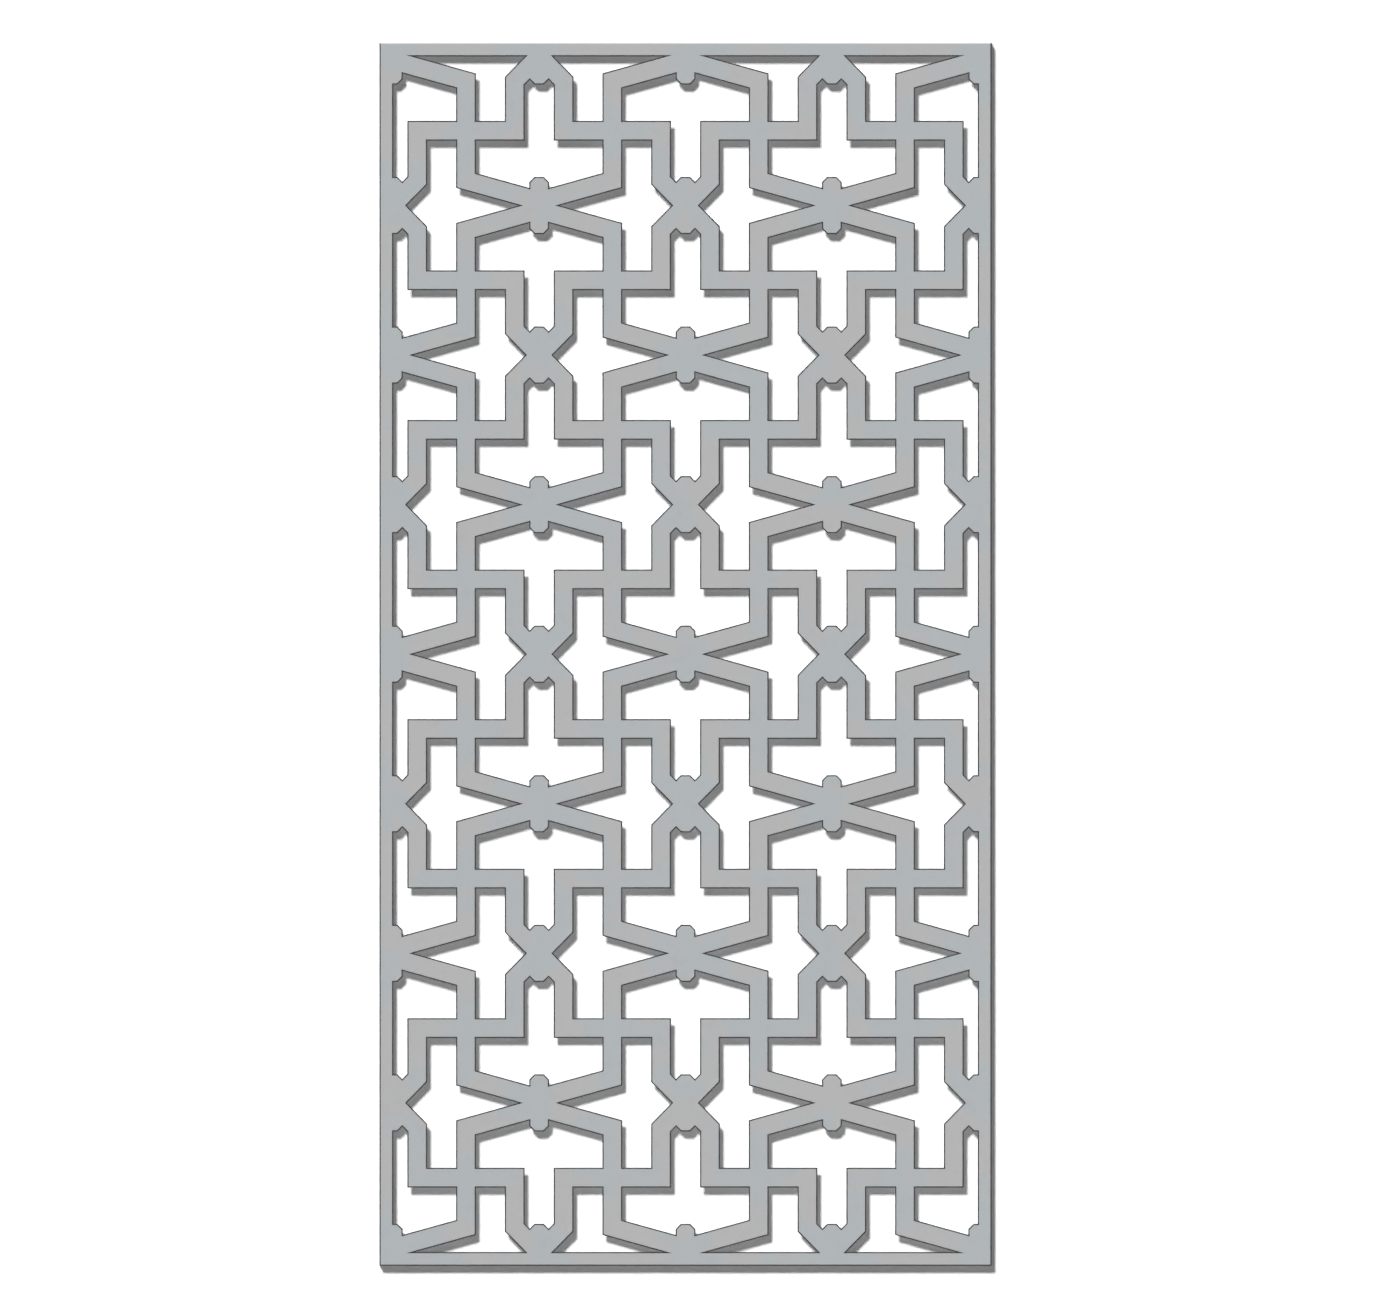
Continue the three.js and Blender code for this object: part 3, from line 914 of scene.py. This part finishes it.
def nut_mesh():
    """A flange nut along +Y, from its seat."""
    corner_radius = NUT_ACROSS_FLATS / math.sqrt(3)
    slope = (FLANGE_RADIUS - corner_radius) / (FLANGE_HEIGHT - FLANGE_RIM)

    def hexagon(turn):
        beside_flat = (turn + math.pi / 6) % (math.pi / 3) - math.pi / 6
        flat = NUT_ACROSS_FLATS / 2 / math.cos(math.pi / 6 - abs(beside_flat))
        return min(flat, corner_radius - CORNER_ROUNDING)

    def outside(height):
        def radius_at(turn):
            flange = FLANGE_RADIUS - (height - FLANGE_RIM) * slope
            chamfered = TOP_FLAT_RADIUS + (NUT_HEIGHT - height) * TOP_SLOPE
            return min(max(hexagon(turn), flange), chamfered)

        return radius_at

    rings = [
        round_ring(0, NUT_SIDES, FLANGE_RADIUS - FLANGE_ROUNDING),
        round_ring(FLANGE_ROUNDING, NUT_SIDES, FLANGE_RADIUS),
        round_ring(FLANGE_RIM - FLANGE_ROUNDING, NUT_SIDES, FLANGE_RADIUS),
    ]
    # the flange's slope runs on until the hexagon's flats meet it
    slope_end = FLANGE_RIM + (FLANGE_RADIUS - NUT_ACROSS_FLATS / 2) / slope
    for k in range(SLOPE_STEPS + 1):
        height = FLANGE_RIM + (slope_end - FLANGE_RIM) * k / SLOPE_STEPS
        rings.append(ring(height, NUT_SIDES, outside(height)))
    chamfer_start = NUT_HEIGHT - (corner_radius - TOP_FLAT_RADIUS) / TOP_SLOPE
    for k in range(CHAMFER_STEPS + 1):
        height = chamfer_start + (NUT_HEIGHT - chamfer_start) * k / CHAMFER_STEPS
        rings.append(ring(height, NUT_SIDES, outside(height)))
    rings += [
        round_ring(NUT_HEIGHT, NUT_SIDES, NUT_BORE_RADIUS + BORE_CHAMFER),
        round_ring(NUT_HEIGHT - BORE_CHAMFER, NUT_SIDES, NUT_BORE_RADIUS),
        round_ring(BORE_CHAMFER, NUT_SIDES, NUT_BORE_RADIUS),
        round_ring(0, NUT_SIDES, NUT_BORE_RADIUS + BORE_CHAMFER),
    ]
    return skinned("nut", rings, through=True)


def flange_nuts():
    zinc = bright_zinc()
    for name, at_corners in (("nuts", False), ("corner_nuts", True)):
        low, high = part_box("left_nut_1" if at_corners else "left_nut_2")
        seed = CORNER_NUT_SEED if at_corners else NUT_SEED
        set_fasteners(
            name, nut_mesh(), "nut", at_corners, low.y, zinc, math.pi / 3, seed
        )


flange_nuts()

# ---------------------------------------------------------------- wall and floor
# Not part of the screen. It hangs on a white wall, which takes its shadow, above a pale floor.
# The wall shows from its front only, and lets light through to the back of the screen.

frame_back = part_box("left_angle")[1].y
WALL_GAP = 0.0005  # between the frame's back and the wall
WALL_WHITE = 1.35  # as it is looked at, so that it comes out as pure white
WALL_GLOW = 0.087  # evens out the shadow
WALL_LATE_GLOW = 0.35  # the same, for light that has bounced twice
ROOM_REACH = 8.0
FLOOR_LEVEL = -0.12
FLOOR_PALE = 0.82  # as it is looked at or mirrored
FLOOR_GLOW = 0.22  # makes up for the little light that the floor gets
FLOOR_BOUNCE = 0.1  # as it lights the screen


def light_path(bench, output):
    return bench.node("ShaderNodeLightPath", output=output)


def within(bench, bounces):
    """1 for light that has this many bounces or fewer on its way to the camera."""
    return light_path(bench, "Ray Depth") < bounces + 0.5


def seen_directly(bench, bounces=1):
    """1 for what the camera or a first reflection looks at, and 0 for soft bounced light."""
    glossy, clear = light_path(bench, "Is Glossy Ray"), light_path(bench, "Is Transmission Ray")
    reflected = glossy.maths("MAXIMUM", glossy, clear) * within(bench, bounces)
    return reflected.maths("MAXIMUM", reflected, light_path(bench, "Is Camera Ray"))


def stage_sheet(name, corners, material):
    mesh = bpy.data.meshes.new(name)
    mesh.from_pydata(corners, [], [range(4)])
    mesh.materials.append(material)
    made = bpy.data.objects.new(name, mesh)
    bpy.context.scene.collection.objects.link(made)


def wall_paint():
    paint = Finish("wall_paint")
    looked_at = light_path(paint, "Is Camera Ray")
    painted = paint.node("ShaderNodeAddShader", values={
        0: paint.node("ShaderNodeBsdfDiffuse", values={"Color": looked_at * WALL_WHITE}),
        1: paint.node("ShaderNodeEmission", values={
            "Strength": WALL_LATE_GLOW + looked_at * (WALL_GLOW - WALL_LATE_GLOW),
        }),
    })
    passing = (1 - looked_at) * within(paint, 1)
    behind = paint.node("ShaderNodeNewGeometry", output="Backfacing")
    clear = paint.node("ShaderNodeBsdfTransparent")
    shown = paint.node("ShaderNodeMixShader", values={
        0: behind.maths("MAXIMUM", behind, passing), 1: painted, 2: clear,
    })
    paint.join(shown, paint.tree.nodes["Material Output"].inputs["Surface"])
    return paint.material


def floor_paint():
    paint = Finish("floor_paint")
    looked_at = seen_directly(paint)
    return paint.surface(
        base_color=FLOOR_BOUNCE + looked_at * (FLOOR_PALE - FLOOR_BOUNCE),
        roughness=0.7,
        emission_color=looked_at * FLOOR_GLOW,
        emission_strength=1.0,
    )


def wall_and_floor():
    wall_at = frame_back + WALL_GAP
    reach, top = ROOM_REACH, SHEET_HEIGHT + ROOM_REACH
    wall = [(-reach, FLOOR_LEVEL), (reach, FLOOR_LEVEL), (reach, top), (-reach, top)]
    stage_sheet("wall", [(x, wall_at, z) for x, z in wall], wall_paint())
    floor = [(-reach, -reach), (reach, -reach), (reach, reach), (-reach, reach)]
    stage_sheet("floor", [(x, y, FLOOR_LEVEL) for x, y in floor], floor_paint())


wall_and_floor()

# ---------------------------------------------------------------- camera and light
# The photograph is taken square on, from far away. One soft lamp stands high on the left in front.
# A second one behind on the right only reaches the screen's sides and back.

PHOTO_WIDTH = 1377  # pixels
PHOTO_HEIGHT = 1311
PHOTO_SHEET_MIDDLE = (685.52, 654.2)  # where the photograph shows the sheet's middle
METRES_PER_PIXEL = 0.0019931
CAMERA_DISTANCE = 4.0
SHADOW_SHIFT = (0.0081, 0.0155)  # how far the sheet's shadow on the wall is to the right and down
KEY_STRENGTH = 2.6
KEY_SIZE = math.radians(11)
BACK_TRAVEL = (-0.55, -0.6, -0.45)
BACK_STRENGTH = 1.5
BACK_SIZE = math.radians(20)
FRONT_AMBIENT = 0.02  # soft light from all round, which is stronger from behind
BACK_AMBIENT = 0.55
BEHIND = 0.3  # from where on a direction counts as behind, from 0 for the side to 1


def lamp(name, travel, strength, size):
    light = bpy.data.lights.new(name, "SUN")
    light.energy = strength
    light.angle = size
    made = bpy.data.objects.new(name, light)
    made.rotation_euler = Vector(travel).to_track_quat("-Z", "Y").to_euler()
    bpy.context.scene.collection.objects.link(made)


def camera_and_light():
    scene = bpy.context.scene
    scene.view_settings.view_transform = "Standard"
    lens = bpy.data.cameras.new("camera")
    lens.type = "ORTHO"
    lens.ortho_scale = PHOTO_WIDTH * METRES_PER_PIXEL
    camera = bpy.data.objects.new("camera", lens)
    right = (PHOTO_WIDTH / 2 - PHOTO_SHEET_MIDDLE[0]) * METRES_PER_PIXEL
    down = (PHOTO_HEIGHT / 2 - PHOTO_SHEET_MIDDLE[1]) * METRES_PER_PIXEL
    camera.location = (right, -CAMERA_DISTANCE, SHEET_HEIGHT / 2 - down)
    camera.rotation_euler = (math.pi / 2, 0, 0)
    scene.collection.objects.link(camera)
    scene.camera = camera

    to_wall = frame_back + WALL_GAP - sheet_low.y
    lamp("key", (SHADOW_SHIFT[0], to_wall, -SHADOW_SHIFT[1]), KEY_STRENGTH, KEY_SIZE)
    lamp("from_behind", BACK_TRAVEL, BACK_STRENGTH, BACK_SIZE)
    world = bpy.data.worlds.new("studio")
    world.use_nodes = True
    scene.world = world
    studio = Bench(world.node_tree)
    from_where = studio.node("ShaderNodeTexCoord", output="Generated")
    backwards = studio.node("ShaderNodeSeparateXYZ", values={0: from_where}, output="Y")
    from_behind = studio.ease(backwards, 0.0, BEHIND)
    ambient = FRONT_AMBIENT + from_behind * (BACK_AMBIENT - FRONT_AMBIENT)
    # the world counts as one bounce further than the surface that looks at it
    strength = ambient + seen_directly(studio, bounces=2) * (1 - ambient)
    studio.join((1.0, 1.0, 1.0, 1.0), world.node_tree.nodes["Background"].inputs["Color"])
    studio.join(strength, world.node_tree.nodes["Background"].inputs["Strength"])


camera_and_light()
